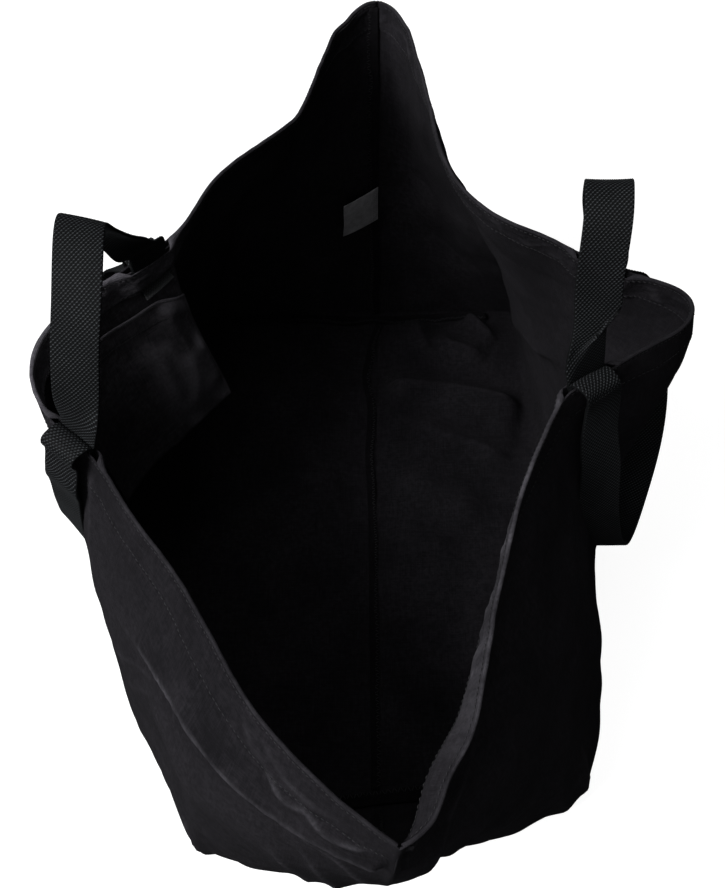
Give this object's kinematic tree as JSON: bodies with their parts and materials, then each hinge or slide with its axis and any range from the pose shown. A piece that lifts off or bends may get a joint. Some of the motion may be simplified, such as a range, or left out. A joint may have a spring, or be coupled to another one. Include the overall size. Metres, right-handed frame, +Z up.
{
  "type": "tote bag",
  "caption": "Large open-top canvas tote bag with a boxed flat base, inner hanging pocket, short webbing grab handles and long webbing shoulder straps.",
  "frame": {"origin": "middle of the outline, on the floor under the base", "axes": "+Z up; +Y from the near side seam to the far side seam, the long way of the mouth; +X towards the panel without the pocket"},
  "size_m": [0.4194, 0.5682, 0.4031],
  "materials": {
    "canvas": "matt black heavy cotton canvas, plain weave",
    "webbing": "black cotton webbing, coarse basket weave",
    "label": "black satin tape"
  },
  "bodies": {
    "bag": {"panel_left": "canvas", "panel_right": "canvas", "hem_facing_left": "canvas", "hem_facing_right": "canvas", "side_seam_near": "canvas", "side_seam_far": "canvas", "bottom_seam": "canvas", "boxed_seam_near": "canvas", "boxed_seam_far": "canvas", "pocket_back": "canvas", "pocket_front": "canvas", "short_handle_left_end_near": "webbing", "short_handle_left_end_far": "webbing", "short_handle_right_end_near": "webbing", "short_handle_right_end_far": "webbing", "long_strap_left_end_near": "webbing", "long_strap_left_end_far": "webbing", "long_strap_right_end_near": "webbing", "long_strap_right_end_far": "webbing"},
    "short_handle_left": {"short_handle_left": "webbing"},
    "short_handle_right": {"short_handle_right": "webbing"},
    "long_strap_left": {"long_strap_left": "webbing"},
    "long_strap_right": {"long_strap_right": "webbing"},
    "care_label": {"care_label": "label"}
  },
  "joints": [
    {"name": "short_handle_left_fold", "type": "hinge", "parent": "bag", "child": "short_handle_left", "pos_m": [-0.14353, -0.00519, 0.30321], "axis": [0.1839, 0.9799, -0.0774], "range_deg": [-20, 75]},
    {"name": "short_handle_right_fold", "type": "hinge", "parent": "bag", "child": "short_handle_right", "pos_m": [0.1298, 0.01156, 0.3027], "axis": [-0.2543, -0.9532, 0.1632], "range_deg": [-20, 75]},
    {"name": "long_strap_left_lift", "type": "hinge", "parent": "bag", "child": "long_strap_left", "pos_m": [-0.15088, -0.00497, 0.29771], "axis": [0.167, 0.9836, -0.0685], "range_deg": [0, 130]},
    {"name": "long_strap_right_lift", "type": "hinge", "parent": "bag", "child": "long_strap_right", "pos_m": [0.13553, 0.01235, 0.29732], "axis": [-0.1939, -0.9718, 0.1343], "range_deg": [0, 130]},
    {"name": "care_label_turn", "type": "hinge", "parent": "bag", "child": "care_label", "pos_m": [0.01017, 0.26107, 0.133], "axis": [0, 0, 1], "range_deg": [-30, 80]}
  ]
}
